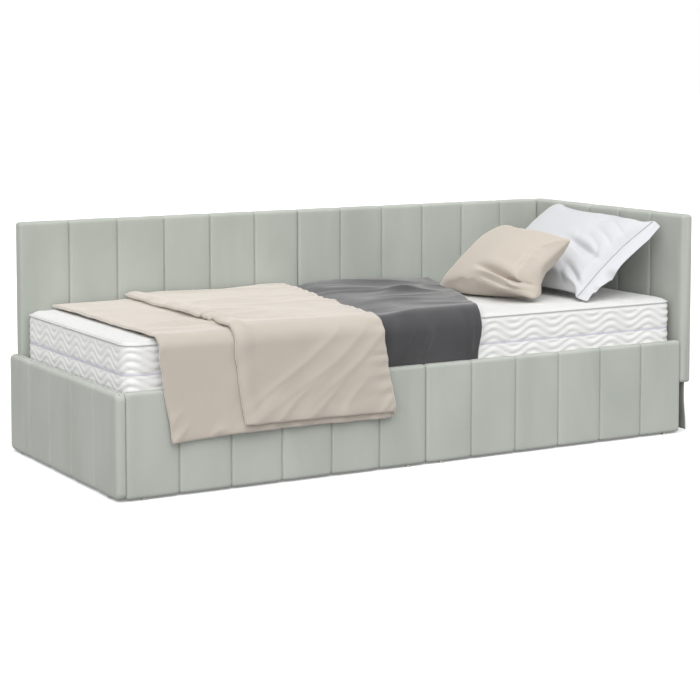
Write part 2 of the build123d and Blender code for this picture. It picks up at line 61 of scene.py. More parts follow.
# %% Camera
camera_data = bpy.data.cameras.new("camera")
camera_data.lens = 99.1
camera_data.shift_y = -0.2
camera = bpy.data.objects.new("camera", camera_data)
camera.location = (-3.1844, -5.4108, 1.2745)
camera.rotation_euler = (math.radians(90 - 4.629), 0, math.radians(-30.185))
scene.collection.objects.link(camera)
scene.camera = camera

# %% [markdown]
# ## Light and backdrop
# Two very wide suns light the bed, one almost overhead and one in front to the left, and a white sky fills
# the rest. The camera sees a brighter sky than the bed does, so the backdrop is pure white. The Standard
# view keeps whites white.

# %% Light
scene.view_settings.view_transform = "Standard"

world = bpy.data.worlds.new("studio")
scene.world = world
world.use_nodes = True
sky_tree = world.node_tree
sky = sky_tree.nodes["Background"]
sky.inputs["Color"].default_value = (1, 1, 1, 1)
sky.inputs["Strength"].default_value = 0.50
backdrop = sky_tree.nodes.new("ShaderNodeBackground")
backdrop.inputs["Color"].default_value = (1, 1, 1, 1)
swap = sky_tree.nodes.new("ShaderNodeMixShader")
rays = sky_tree.nodes.new("ShaderNodeLightPath")
sky_tree.links.new(rays.outputs["Is Camera Ray"], swap.inputs["Fac"])
sky_tree.links.new(sky.outputs["Background"], swap.inputs[1])
sky_tree.links.new(backdrop.outputs["Background"], swap.inputs[2])
sky_tree.links.new(swap.outputs["Shader"], sky_tree.nodes["World Output"].inputs["Surface"])


def soft_sun(name, azimuth, elevation, spread, strength):
    """Even light from one side of the sky: azimuth is where it comes from, and spread softens it."""
    data = bpy.data.lights.new(name, "SUN")
    data.angle = math.radians(spread)
    data.energy = strength
    lamp = bpy.data.objects.new(name, data)
    lamp.rotation_euler = (0, math.radians(90 - elevation), math.radians(azimuth))
    scene.collection.objects.link(lamp)


soft_sun("light_over", -125, 70, 80, 1.6)
soft_sun("light_front", -122, 30, 70, 1.75)

# %% [markdown]
# ## Tools for surfaces
# Every soft piece is a grid of points. The helpers here number the grid's quads, turn points into a mesh
# whose faces look outwards, and give smooth random fields for the unevenness of sewn cloth.

# %% Grid and mesh helpers


def grid_quads(rows, columns, wrap_rows=False, wrap_columns=False):
    """Quads of a grid of points numbered row by row; a wrapped direction joins its last to its first."""
    r = np.arange(rows if wrap_rows else rows - 1)[:, None]
    c = np.arange(columns if wrap_columns else columns - 1)[None, :]
    r2, c2 = (r + 1) % rows, (c + 1) % columns
    corners = (r * columns + c, r * columns + c2, r2 * columns + c2, r2 * columns + c)
    return np.stack(np.broadcast_arrays(*corners), -1).reshape(-1, 4)


def tube_faces(rows, columns):
    """Faces of a tube of rings with so many points each: quads round the side, and one face over each end."""
    last = (rows - 1) * columns
    caps = [list(range(columns - 1, -1, -1)), list(range(last, last + columns))]
    return grid_quads(rows, columns, wrap_columns=True).tolist() + caps


def signed_volume(points, quads):
    """Volume in a skin of quads: a sixth of the sum of triple products over both triangles of each quad."""
    p = (points - points.mean(0))[quads]
    first = np.einsum("ij,ij->i", np.cross(p[:, 0], p[:, 1]), p[:, 2])
    second = np.einsum("ij,ij->i", np.cross(p[:, 0], p[:, 2]), p[:, 3])
    return (first.sum() + second.sum()) / 6


def new_piece(name, points, faces, material, uv=None):
    """A smooth-shaded object at the origin: its place is in its mesh, faces look out, UV is in metres."""
    points = np.asarray(points, float).reshape(-1, 3)
    quads = np.array([face for face in faces if len(face) == 4])
    if signed_volume(points, quads) < 0:
        faces = [face[::-1] for face in faces]
    mesh = bpy.data.meshes.new(name)
    mesh.from_pydata(points, [], faces)
    mesh.validate()
    if uv is not None:
        loops = np.zeros(len(mesh.loops), int)
        mesh.loops.foreach_get("vertex_index", loops)
        layer = mesh.uv_layers.new(name="cloth")
        layer.data.foreach_set("uv", np.asarray(uv, np.float32).reshape(-1, 2)[loops].ravel())
    mesh.shade_smooth()
    mesh.materials.append(material)
    piece = bpy.data.objects.new(name, mesh)
    scene.collection.objects.link(piece)
    return piece


def cloth_uv(u, v):
    """UV rows of a grid of points from its two directions in metres."""
    return np.stack(np.broadcast_arrays(u, v), -1).reshape(-1, 2)


def stand_for(piece, body, nodes):
    """Lets a padded piece ride a body and take the place of its CAD nodes."""
    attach(piece, body)
    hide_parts(*nodes)


# %% Random fields for cloth
LATTICE = 61  # points a side of a random lattice, after which it repeats


def lumps(u, v, seed):
    """Smooth random field from -1 to 1: random heights on a whole-number lattice, joined by smoothsteps."""
    lattice = np.random.default_rng(seed).uniform(-1, 1, (LATTICE, LATTICE))
    i, j = np.floor(u).astype(int), np.floor(v).astype(int)
    a, b = u - i, v - j
    a, b = a * a * (3 - 2 * a), b * b * (3 - 2 * b)
    i, j, i2, j2 = i % LATTICE, j % LATTICE, (i + 1) % LATTICE, (j + 1) % LATTICE
    low = lattice[i, j] * (1 - a) + lattice[i2, j] * a
    high = lattice[i, j2] * (1 - a) + lattice[i2, j2] * a
    return low * (1 - b) + high * b


def creases(u, v, angle, length, width, seed):
    """Folds along an angle in degrees: one minus the size of a stretched lumps field, cubed, from 0 to 1."""
    c, s = math.cos(math.radians(angle)), math.sin(math.radians(angle))
    along, across = (u * c + v * s) / length, (v * c - u * s) / width
    across = across + 0.6 * lumps(along * 0.7, across * 0.3, seed + 1)
    return (1 - np.abs(lumps(along, across, seed))) ** 3


def bell(x, width):
    """A smooth bump of height 1 at x = 0: exp(-(x / width) squared)."""
    return np.exp(-((x / width) ** 2))


def ramp(x, low, high):
    """Smoothstep from 0 at low to 1 at high."""
    t = np.clip((x - low) / (high - low), 0, 1)
    return t * t * (3 - 2 * t)


def unit(vectors):
    """The same directions with length 1."""
    return vectors / np.maximum(np.linalg.norm(vectors, axis=-1, keepdims=True), 1e-12)


def outward(points):
    """Unit normals of a grid of points, from the cross product of its two gradients."""
    return unit(np.cross(np.gradient(points, axis=1), np.gradient(points, axis=0)))


# %% [markdown]
# ## Materials
# The same few effects return on many finishes, so each is a node group: the woven threads of plain cloth,
# the nap of a pile that is brushed here and there, the grain of planed wood, and the fine orange peel of a
# coating. A material places the groups, gives them its own numbers, and keeps its own Principled shader.

# %% Node helpers


def place_node(tree, kind, inputs=None, **settings):
    """Adds a node, sets its properties, and fills or links its inputs. Colours are three channels, opaque."""
    made = tree.nodes.new(kind)
    for key, value in settings.items():
        setattr(made, key, value)
    for key, value in (inputs or {}).items():
        socket = made.inputs[key]
        if isinstance(value, bpy.types.NodeSocket):
            tree.links.new(value, socket)
        else:
            socket.default_value = (*value, 1) if socket.type == "RGBA" else value
    return made


def feed(tree, inputs, **sources):
    """Links output sockets to inputs by name."""
    for key, source in sources.items():
        tree.links.new(source, inputs[key.replace("_", " ")])


def calculate(tree, operation, first, second=0.5):
    """One Math node, as its output socket."""
    return place_node(tree, "ShaderNodeMath", {0: first, 1: second}, operation=operation).outputs[0]


def mix_colours(tree, factor, a, b):
    """A Mix node set to colours, as its output socket."""
    return place_node(tree, "ShaderNodeMix", {0: factor, 6: a, 7: b}, data_type="RGBA").outputs[2]


def noise(tree, vector, scale, detail, **more):
    """The height of a Noise texture, as its output socket."""
    inputs = {"Vector": vector, "Scale": scale, "Detail": detail, **more}
    return place_node(tree, "ShaderNodeTexNoise", inputs).outputs[0]


def stretch(tree, vector, scale):
    """A vector scaled by a Mapping node, as its output socket."""
    return place_node(tree, "ShaderNodeMapping", {"Vector": vector, "Scale": scale}).outputs[0]


def map_range(tree, value, low, high, to_low, to_high):
    """One Map Range node, as its output socket."""
    inputs = {0: value, 1: low, 2: high, 3: to_low, 4: to_high}
    return place_node(tree, "ShaderNodeMapRange", inputs).outputs[0]


def new_group(name, outputs, **inputs):
    """An empty node group. It takes a Vector and named numbers or colours, and gives the named outputs."""
    tree = bpy.data.node_groups.new(name, "ShaderNodeTree")
    tree.interface.new_socket("Vector", in_out="INPUT", socket_type="NodeSocketVector")
    for key, value in inputs.items():
        kind = "NodeSocketColor" if isinstance(value, tuple) else "NodeSocketFloat"
        tree.interface.new_socket(key, in_out="INPUT", socket_type=kind).default_value = value
    for key in outputs:
        kind = "NodeSocketColor" if key == "Color" else "NodeSocketFloat"
        tree.interface.new_socket(key, in_out="OUTPUT", socket_type=kind)
    entry, leave = tree.nodes.new("NodeGroupInput"), tree.nodes.new("NodeGroupOutput")
    return tree, entry.outputs, leave.inputs


# %% Group: woven threads
weave, given, result = new_group("woven_threads", ("Height", "Tone"), Pitch=0.0012, Slub=0.4)
parts = place_node(weave, "ShaderNodeSeparateXYZ", {0: given["Vector"]}).outputs
turns = calculate(weave, "DIVIDE", math.pi, given["Pitch"])
warp, weft = (
    calculate(weave, "ABSOLUTE", calculate(weave, "SINE", calculate(weave, "MULTIPLY", part, turns)))
    for part in parts[:2]
)
threads = calculate(weave, "MULTIPLY", warp, weft)
slub_warp, slub_weft = (
    noise(weave, stretch(weave, given["Vector"], scale), 1.0, 2.0) for scale in ((900, 25, 25), (25, 900, 25))
)
slub = calculate(weave, "MULTIPLY", calculate(weave, "ADD", slub_warp, slub_weft), given["Slub"])
feed(weave, result, Height=calculate(weave, "ADD", threads, slub), Tone=slub)

# %% Group: brushed nap
SURFACE = ("Color", "Height", "Roughness")
grey = (0.5, 0.5, 0.5, 1)
nap, given, result = new_group("brushed_nap", SURFACE, Colour=grey, Rubbed=grey, Patch=6.0, Contrast=0.5)
hang = stretch(nap, given["Vector"], (1, 1, 0.35))
patch = map_range(nap, noise(nap, hang, given["Patch"], 4.0, Distortion=0.6), 0.35, 0.65, 0.0, 1.0)
share = calculate(nap, "MULTIPLY", patch, given["Contrast"])
colour = mix_colours(nap, share, given["Colour"], given["Rubbed"])
roughness = map_range(nap, patch, 0.0, 1.0, 0.92, 0.8)
feed(nap, result, Color=colour, Height=noise(nap, given["Vector"], 900.0, 2.0), Roughness=roughness)

# %% Group: planed grain
grain, given, result = new_group("planed_grain", SURFACE, Early=grey, Late=grey, Rings=60.0)
ring_inputs = {"Scale": given["Rings"], "Distortion": 6.0, "Detail": 3.0, "Detail Scale": 0.6}
rings = place_node(grain, "ShaderNodeTexWave", {"Vector": given["Vector"], **ring_inputs})
bands = calculate(grain, "POWER", rings.outputs[1], 2.0)
pores = noise(grain, given["Vector"], 400.0, 3.0)
colour = mix_colours(grain, bands, given["Early"], given["Late"])
roughness = map_range(grain, pores, 0.0, 1.0, 0.5, 0.75)
feed(grain, result, Color=colour, Height=calculate(grain, "ADD", bands, pores), Roughness=roughness)

# %% Group: coating
coating, given, result = new_group("orange_peel", SURFACE, Colour=grey, Dust=grey, Grain=500.0)
smear = noise(coating, given["Vector"], 20.0, 3.0)
dusty = map_range(coating, smear, 0.45, 0.75, 0.0, 0.35)
colour = mix_colours(coating, dusty, given["Colour"], given["Dust"])
peel = noise(coating, given["Vector"], given["Grain"], 1.0)
feed(coating, result, Color=colour, Height=peel, Roughness=map_range(coating, smear, 0.0, 1.0, 0.32, 0.5))


# %% Material makers


def start_material(name, **shader_values):
    """A new material, with plain numbers set straight on its Principled shader's own sockets."""
    material = bpy.data.materials.new(name)
    material.use_nodes = True
    shader = material.node_tree.nodes["Principled BSDF"].inputs
    for key, value in shader_values.items():
        shader[key.replace("_", " ")].default_value = value
    return material, material.node_tree, shader


def place_on(tree, follows="Object"):
    """The place on the object that a pattern follows: along the object's axes, or the cloth's UV map."""
    return place_node(tree, "ShaderNodeTexCoord").outputs[follows]


def use_group(tree, group, vector, **values):
    """Places a group in a material and fills its inputs; gives its output sockets."""
    return place_node(tree, "ShaderNodeGroup", {"Vector": vector, **values}, node_tree=group).outputs


def raise_surface(tree, shader, height, strength, distance):
    """Feeds a height to the shader's normal through a Bump node."""
    bump = place_node(tree, "ShaderNodeBump", {"Height": height, "Strength": strength, "Distance": distance})
    feed(tree, shader, Normal=bump.outputs[0])


def lay_finish(tree, shader, made, strength, distance):
    """Feeds a group's colour, roughness and height to the shader."""
    feed(tree, shader, Base_Color=made["Color"], Roughness=made["Roughness"])
    raise_surface(tree, shader, made["Height"], strength, distance)


def pile_material(name, colour, rubbed, patch, contrast, sheen, depth):
    """Velvet or fleece: brushed nap, rough, with a sheen that whitens where the pile is seen edge-on."""
    pile = {"Sheen_Weight": sheen, "Sheen_Roughness": 0.4, "Specular_IOR_Level": 0.15}
    material, tree, shader = start_material(name, **pile)
    made = use_group(tree, nap, place_on(tree), Colour=colour, Rubbed=rubbed, Patch=patch, Contrast=contrast)
    lay_finish(tree, shader, made, 0.5, depth)
    return material


def woven_material(name, colour, deep, pitch, slub, depth, sheen, follows="UV"):
    """Plain woven cloth: threads follow the UV map or the object's axes, and slubs shift the tone."""
    tint = [math.sqrt(channel / max(colour)) for channel in colour] + [1]
    cloth = {"Sheen_Roughness": 0.5, "Roughness": 0.85, "Specular_IOR_Level": 0.2}
    material, tree, shader = start_material(name, Sheen_Weight=sheen, Sheen_Tint=tint, **cloth)
    spot = place_on(tree, follows)
    made = use_group(tree, weave, spot, Pitch=pitch, Slub=slub)
    broad = calculate(tree, "MULTIPLY", noise(tree, spot, 5.0, 3.0), 0.5)
    tone = map_range(tree, calculate(tree, "ADD", broad, made["Tone"]), 0.2, 0.9, 0.0, 1.0)
    feed(tree, shader, Base_Color=mix_colours(tree, tone, deep, colour))
    raise_surface(tree, shader, made["Height"], 0.35, depth)
    return material


def wood_material(name, early, late, rings, axis):
    """Planed wood with its grain along one axis: the pattern is stretched that way."""
    material, tree, shader = start_material(name, Specular_IOR_Level=0.35)
    scale = [0.04 if axis == other else 1.0 for other in "XYZ"]
    vector = stretch(tree, place_on(tree), scale)
    made = use_group(tree, grain, vector, Early=early, Late=late, Rings=rings)
    lay_finish(tree, shader, made, 0.25, 0.0004)
    return material


def coated_material(name, colour, dust, grain_size, metallic):
    """Powder coat, zinc, board, foam or moulded plastic, by its colour and how metallic it is."""
    material, tree, shader = start_material(name, Metallic=metallic)
    made = use_group(tree, coating, place_on(tree), Colour=colour, Dust=dust, Grain=grain_size)
    lay_finish(tree, shader, made, 0.3, 0.0003)
    return material


# %% The finishes
PILES = {  # colour, rubbed colour, size of the patches, their contrast, sheen, depth of the pile
    "velvet": ((0.40, 0.425, 0.385), (0.47, 0.49, 0.45), 5.0, 0.8, 0.25, 0.0004),
    "fleece": ((0.064, 0.064, 0.067), (0.098, 0.098, 0.103), 9.0, 0.5, 0.6, 0.0008),
    # the skirts get the panel velvet made darker: painted shade for cloth hanging in the shadow under the
    # panels
    "skirt_velvet": ((0.36, 0.38, 0.345), (0.42, 0.44, 0.40), 8.0, 0.6, 0.2, 0.0004),
}
CLOTHS = {  # colour, deep colour, pitch of the threads, slub, depth of the weave, sheen
    "duvet_cotton": ((0.505, 0.455, 0.40), (0.455, 0.405, 0.35), 0.0014, 0.35, 0.0003, 1.0),
    "white_cotton": ((0.615, 0.625, 0.645), (0.575, 0.585, 0.605), 0.0011, 0.25, 0.0002, 0.1),
    "beige_linen": ((0.53, 0.475, 0.415), (0.47, 0.42, 0.36), 0.0016, 0.45, 0.0004, 0.4),
    "border_knit": ((0.81, 0.81, 0.80), (0.77, 0.77, 0.76), 0.0018, 0.2, 0.0004, 0.1),
    # the top and bottom panels get the border knit made darker: painted shade that holds back the strong
    # light falling on the top
    "top_knit": ((0.70, 0.70, 0.69), (0.66, 0.66, 0.65), 0.0018, 0.2, 0.0004, 0.1),
    "piping": ((0.70, 0.71, 0.71), (0.63, 0.64, 0.64), 0.0012, 0.3, 0.0003, 0.1),
    "webbing": ((0.72, 0.72, 0.70), (0.6, 0.6, 0.58), 0.0020, 0.4, 0.0006, 0.0, "Object"),
}
PINE = ((0.66, 0.47, 0.27), (0.50, 0.31, 0.15), 55.0)
WOODS = {  # early wood, late wood, rings, the axis of the grain
    "pine_x": (*PINE, "X"),
    "pine_y": (*PINE, "Y"),
    "pine_z": (*PINE, "Z"),
    "birch_slats": ((0.72, 0.56, 0.36), (0.62, 0.45, 0.27), 90.0, "Y"),
}
COATINGS = {  # colour, colour of the dust, size of the grain, how metallic
    "particle_board": ((0.50, 0.38, 0.24), (0.60, 0.48, 0.33), 300.0, 0.0),
    "foam": ((0.80, 0.76, 0.62), (0.84, 0.80, 0.68), 700.0, 0.0),
    "black_steel": ((0.02, 0.02, 0.022), (0.06, 0.06, 0.06), 500.0, 0.4),
    "zinc": ((0.55, 0.55, 0.53), (0.42, 0.42, 0.40), 800.0, 1.0),
    "glide_plastic": ((0.42, 0.42, 0.40), (0.50, 0.50, 0.48), 600.0, 0.0),
    # a real stitching thread, coloured dark grey as painted shade for the shadow in the stitched groove
    "thread_grey": ((0.30, 0.30, 0.32), (0.38, 0.38, 0.40), 900.0, 0.0),
    "zip_tape": ((0.60, 0.59, 0.68), (0.66, 0.66, 0.71), 900.0, 0.0),
}
makers = {pile_material: PILES, woven_material: CLOTHS, wood_material: WOODS, coated_material: COATINGS}
finish = {name: make(name, *numbers) for make, plans in makers.items() for name, numbers in plans.items()}
print("finishes:", ", ".join(finish))

# %% [markdown]
# ## Floor
# A studio sweep looks pure white because it is lit harder than the object. Here the camera sees the floor at
# full white with only a faint shadow, while the light that it throws back up at the bed stays modest.

# %% Floor
floor_paint, floor_tree, floor_shader = start_material(
    "floor_paint", Roughness=1.0, Specular_IOR_Level=0.0, Emission_Strength=1.0
)
seen = place_node(floor_tree, "ShaderNodeLightPath").outputs["Is Camera Ray"]
feed(
    floor_tree,
    floor_shader,
    Base_Color=mix_colours(floor_tree, seen, (0.35, 0.35, 0.35), (0.92, 0.92, 0.92)),
    Emission_Color=mix_colours(floor_tree, seen, (0, 0, 0), (0.22, 0.22, 0.22)),
)
FLOOR_REACH = 40.0
floor_corners = np.array([[-1, -1, 0], [1, -1, 0], [1, 1, 0], [-1, 1, 0]]) * FLOOR_REACH
floor = new_piece("floor", floor_corners, [[0, 1, 2, 3]], floor_paint)

# %% [markdown]
# ## Finishes for the carried-over parts
# The wood, steel and plastic keep the shapes the frame gives them. Each node only swaps its material, by the
# kind of thing it is.

# %% Finishes for the frame's own nodes
finish_by_slot = {
    "board": "particle_board",
    "foam": "foam",
    "coated_steel": "black_steel",
    "zinc_steel": "zinc",
    "slat_ply": "birch_slats",
    "webbing": "webbing",
    "glide_plastic": "glide_plastic",
    "zip_tape": "zip_tape",
    "spring_pocket": "foam",
    "filling": "foam",
}
pine_by_word = {"ledger": "pine_x", "beam": "pine_y", "post": "pine_z", "leg": "pine_z"}
slot_of = {entry["node"]: entry["material_slot"] for entry in frame["record"]["subparts"]}


def finish_for(node):
    """The finish of a CAD node: by its slot, or by which way its grain runs if it is pine."""
    if slot_of[node] == "pine":
        return next(name for word, name in pine_by_word.items() if word in node)
    return finish_by_slot.get(slot_of[node])


for node_name, node_object in frame["nodes"].items():
    if finish_for(node_name):
        for place in node_object.material_slots:
            place.material = finish[finish_for(node_name)]

# %% [markdown]
# ## Velvet panels
# A padded panel is a board in a sock of velvet and wadding, sewn down in straight channels. Carving it from a
# block would lose the soft edge, so the panel is a rounded rectangle carried from one end to the other. Near
# an end the section shrinks along a circle, which rounds the outline. A seam is a narrow groove, and between
# two seams the wadding stands out a little. The low foot panel is sewn so loosely that its seams hardly show.

# %% Panel section and stations


def round_in(distance, radius):
    """How far a rounded corner stands back at a distance from the end: radius less the half-chord there."""
    left = np.clip(radius - distance, 0, radius)
    return radius - np.sqrt(np.maximum(radius**2 - left**2, 0))


def section_table(face_rows, arc_rows):
    """Rounded rectangle, a row a point: share of height and depth, offset in radii, normal, up and out."""
    arcs = []
    for turn, (high, deep) in enumerate(((1, 1), (1, 0), (0, 0), (0, 1))):
        angle = (np.linspace(0, 1, arc_rows) + turn) * math.pi / 2
        up, out = np.sin(angle), np.cos(angle)
        row = (high, deep, up + 1 - 2 * high, out + 1 - 2 * deep, up, out)
        arcs.append(np.stack(np.broadcast_arrays(*row), -1))
    rows = []
    for turn, arc in enumerate(arcs):
        t = np.linspace(0, 1, face_rows if turn % 2 else 5)[1:-1, None]
        rows += [arc, arc[-1] * (1 - t) + arcs[(turn + 1) % 4][0] * t]
    return np.concatenate(rows)


def seam_stations(width, channels, corner):
    """Places along a panel where a section is made: close together at each seam and in the rounded ends."""
    beside = np.array([0, 0.0010, 0.0021, 0.0034, 0.0052, 0.009, 0.016, 0.028, 0.045, 0.062])
    seams = np.arange(1, channels) * width / channels
    near_end = corner * (1 - np.cos(np.linspace(0, math.pi / 2, 8)))
    ends = np.concatenate([near_end, corner + beside[5:]])
    places = [ends, width - ends] + [seam + side * beside for seam in seams for side in (-1, 1)]
    places = np.unique(np.round(np.concatenate(places), 5))
    apart = np.diff(places) > 3e-4  # nearer than this, two stations are one
    return places[np.concatenate([[True], apart])]


# %% Panel surface
CROWN = 0.0016  # how far the wadding stands out between seams
REAR_EDGE = 0.004
MEET = 0.0009  # the velvet of two sections swells into the gap between them from each side


def velvet_panel(panel, faces_left, channels, corner, soft_edge, groove, seed):
    """Closed velvet panel in the box of its CAD cover, carried from one end to the other.

    Section at distance a from the end: a rounded rectangle whose height loses round_in(a, corner) and whose
    depth loses round_in(a, soft_edge). Outward shift: crown x (1 - bell) - groove x bell of the distance to
    the nearest seam, plus a little lumps().
    """
    low, high = np.array(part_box(panel + "_cover"))
    low[0] -= MEET * ("right" in panel)
    high[0] += MEET * ("left" in panel)
    width = high[1] - low[1] if faces_left else high[0] - low[0]
    depth = high[0] - low[0] if faces_left else high[1] - low[1]
    height = high[2] - low[2]
    a = seam_stations(width, channels, corner)[:, None]
    end = np.minimum(a, width - a)
    top, front, rear = round_in(end, corner), round_in(end, soft_edge), round_in(end, REAR_EDGE)
    table = section_table(face_rows=40, arc_rows=7)
    share_h, share_d, off_h, off_d, up, out = (table[:, k][None, :] for k in range(6))
    far, near = -depth + rear, -front - CROWN
    radius = np.minimum(REAR_EDGE + (soft_edge - REAR_EDGE) * share_d, 0.48 * (near - far))
    b = top + share_h * (height - 2 * top) + off_h * radius
    c = far + share_d * (near - far) + off_d * radius
    seams = np.arange(1, channels) * width / channels
    from_seam = np.abs(a - seams[None, :]).min(1, keepdims=True)
    shown = np.clip(0.5 + out, 0, 1)  # full on the front, half on top, none behind
    crown = CROWN * (1 - bell(from_seam, 0.016))
    cut = groove * bell(from_seam, 0.0023) + 0.15 * groove * bell(from_seam, 0.007)
    uneven = 0.0006 * lumps(a / 0.09, b / 0.11 + 3, seed) + 0.0003 * lumps(a / 0.03, b / 0.2, seed + 1)
    shift = shown * (crown - cut + uneven) * ramp(end, -0.002, 0.02)
    b, c = b + up * shift, c + out * shift
    a = np.broadcast_to(a, b.shape)
    across = [low[0] - c, high[1] - a] if faces_left else [low[0] + a, low[1] - c]
    points = np.stack(across + [low[2] + b], -1)
    piece = new_piece(panel + "_velvet", points, tube_faces(*points.shape[:2]), finish["velvet"])
    stand_for(piece, "frame", (panel + "_cover", panel + "_foam"))
    print(piece.name, len(piece.data.polygons), "faces")


# %% The six panels
LONG_SIDE = (False, 6, 0.009, 0.010, 0.0062)
panel_plan = {  # faces left, channels, corner radius, soft edge, depth of the seams
    "foot_panel": (True, 5, 0.022, 0.013, 0.0015),
    "front_rail_left": LONG_SIDE,
    "front_rail_right": LONG_SIDE,
    "back_panel_left": LONG_SIDE,
    "back_panel_right": LONG_SIDE,
    "head_panel": (True, 5, 0.012, 0.012, 0.0062),
}
for number, (panel, plan) in enumerate(panel_plan.items()):
    velvet_panel(panel, *plan, seed=10 + 3 * number)

# %% [markdown]
# ## Sheets with two sides
# A throw, a duvet and a skirt are all a middle surface with a thickness. Solidify could give the thickness,
# but a duvet is thin at its seams and full between them, so both skins are worked out here, each half the
# local thickness away from the middle, with a narrow rim to join them.

# %% Sheet helpers


def rim_loop(rows, columns):
    """Numbers of a grid's outer points, in order round it."""
    top = np.arange(columns)
    right = np.arange(1, rows) * columns + columns - 1
    bottom = (rows - 1) * columns + np.arange(columns - 2, -1, -1)
    left = np.arange(rows - 2, 0, -1) * columns
    return np.concatenate([top, right, bottom, left])


def two_sided(middle, thickness):
    """Closed skin of a sheet: the middle surface plus and minus half the thickness, and a rim."""
    rows, columns = middle.shape[:2]
    half = outward(middle) * np.broadcast_to(thickness, (rows, columns))[..., None] / 2
    points = np.concatenate([(middle + half).reshape(-1, 3), (middle - half).reshape(-1, 3)])
    count = rows * columns
    quads = grid_quads(rows, columns)
    loop = rim_loop(rows, columns)
    after = np.roll(loop, -1)
    rim = np.stack([loop, loop + count, after + count, after], -1)
    return points, np.concatenate([quads, quads[:, ::-1] + count, rim])


def sheet_piece(name, middle, thickness, material, u, v):
    """A two-sided sheet as a piece, with one UV map for both sides."""
    uv = cloth_uv(u, v)
    return new_piece(name, *two_sided(middle, thickness), material, np.concatenate([uv, uv]))


def rounded_path(corners, radii, count):
    """Even points along a polyline whose inner corners are arcs, and the distance run at each point."""
    corners = np.array(corners, float)
    dense = [corners[0]]
    for before, corner, after, radius in zip(corners, corners[1:], corners[2:], radii):
        u, w = unit(before - corner), unit(after - corner)
        opening = math.acos(np.clip(u @ w, -1, 1))
        reach = radius / math.tan(opening / 2)
        centre = corner + unit(u + w) * radius / math.sin(opening / 2)
        start, end = corner + u * reach - centre, corner + w * reach - centre
        for t in np.linspace(0, 1, 24):
            dense.append(centre + unit(start * (1 - t) + end * t) * radius)
    dense = np.array(dense + [corners[-1]])
    run = np.concatenate([[0], np.cumsum(np.linalg.norm(np.diff(dense, axis=0), axis=1))])
    even = np.linspace(0, run[-1], count)
    return np.stack([np.interp(even, run, dense[:, k]) for k in range(2)], -1), even


# %% [markdown]
# ## Dust skirts
# The high panels hang on posts, and a length of the same velvet closes the gap down to the floor. Its colour
# is the panel velvet made darker, painted shade under the panels. It is held along its top only, so its folds
# grow towards the hem.

# %% The three skirts


def hung_skirt(node, seed):
    """Skirt in the box of its CAD node: a flat cloth with folds that grow from top to hem."""
    low, high = np.array(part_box(node))
    size = high - low
    along, across = (0, 1) if size[0] > size[1] else (1, 0)
    length, drop = size[along], size[2]
    t = np.linspace(0, 1, 200)[None, :]
    fall = np.linspace(0, 1, 24)[:, None]
    fold = 0.003 * fall * (0.7 * np.sin(t * length / 0.045) + lumps(t * length / 0.07, fall * 0.6, seed))
    if node == "head_skirt":  # its free corner at the front stands out
        fold += 0.010 * ramp(fall, 0.25, 1) * bell(t * length, 0.15)
    place = [0, 0, high[2] - fall * drop + 0 * t]
    place[along] = low[along] + t * length + 0 * fall
    place[across] = (low[across] + high[across]) / 2 + fold
    middle = np.stack(place, -1)
    # the darker velvet is painted shade under the panels
    skirt = sheet_piece(node + "_cloth", middle, 0.0016, finish["skirt_velvet"], place[along], place[2])
    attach(skirt, "frame")
    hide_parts(node)


for number, skirt_node in enumerate(("head_skirt", "back_skirt_left", "back_skirt_right")):
    hung_skirt(skirt_node, 60 + number)

# %% [markdown]
# ## Mattress
# A mattress cover is three panels: a top and a bottom, joined by a border with piping along both seams. All
# three are quilted in waves. The quilting machine sews wavy lines one pitch apart, and the wadding puffs up
# between them, so a ridge is the absolute value of a sine, raised to a power under one to make it full.

# %% Mattress outline
mattress_low, mattress_high = np.array(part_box("mattress_cover"))
mattress_middle = (mattress_low + mattress_high) / 2
mattress_half = (mattress_high - mattress_low)[:2] / 2
MATTRESS_CORNER = 0.046
SEAM_DROP = 0.014  # from the top of the mattress down to its seam
TOP_PITCH, TOP_SWING, TOP_WAVE = 0.031, 0.012, 0.158  # between the lines, and the height and length of a wave
RIDGE_PITCH = 0.0245  # on the border
WAVE_SWING = 0.0155
RIDGE_HEIGHT = 0.0056
LONG_WAVE = 0.1559  # length of a wave on the two long sides
SHORT_WAVE = 0.1275  # and on the two short ones, before it is fitted to a whole number of waves round


def round_corners(x, y, half, radius):
    """Moves a grid's corner squares onto quarter discs: (a, b) to (a sqrt(1 - b^2/2), b sqrt(1 - a^2/2))."""
    a, b = (np.clip((np.abs(v) - side + radius) / radius, 0, 1) for v, side in zip((x, y), half))
    both = (a > 0) & (b > 0)
    round_x = np.sign(x) * (half[0] - radius + radius * a * np.sqrt(1 - b * b / 2))
    round_y = np.sign(y) * (half[1] - radius + radius * b * np.sqrt(1 - a * a / 2))
    return np.where(both, round_x, x), np.where(both, round_y, y)


def inside_distance(x, y):
    """How far a point lies inside the rounded rectangle."""
    qx, qy = np.abs(x) - mattress_half[0] + MATTRESS_CORNER, np.abs(y) - mattress_half[1] + MATTRESS_CORNER
    beyond = np.hypot(np.maximum(qx, 0), np.maximum(qy, 0))
    return MATTRESS_CORNER - beyond - np.minimum(np.maximum(qx, qy), 0)


def ridge(phase):
    """Puffed quilting between lines of stitching: |sin(pi phase)| to the power 0.75."""
    return np.abs(np.sin(math.pi * phase)) ** 0.75


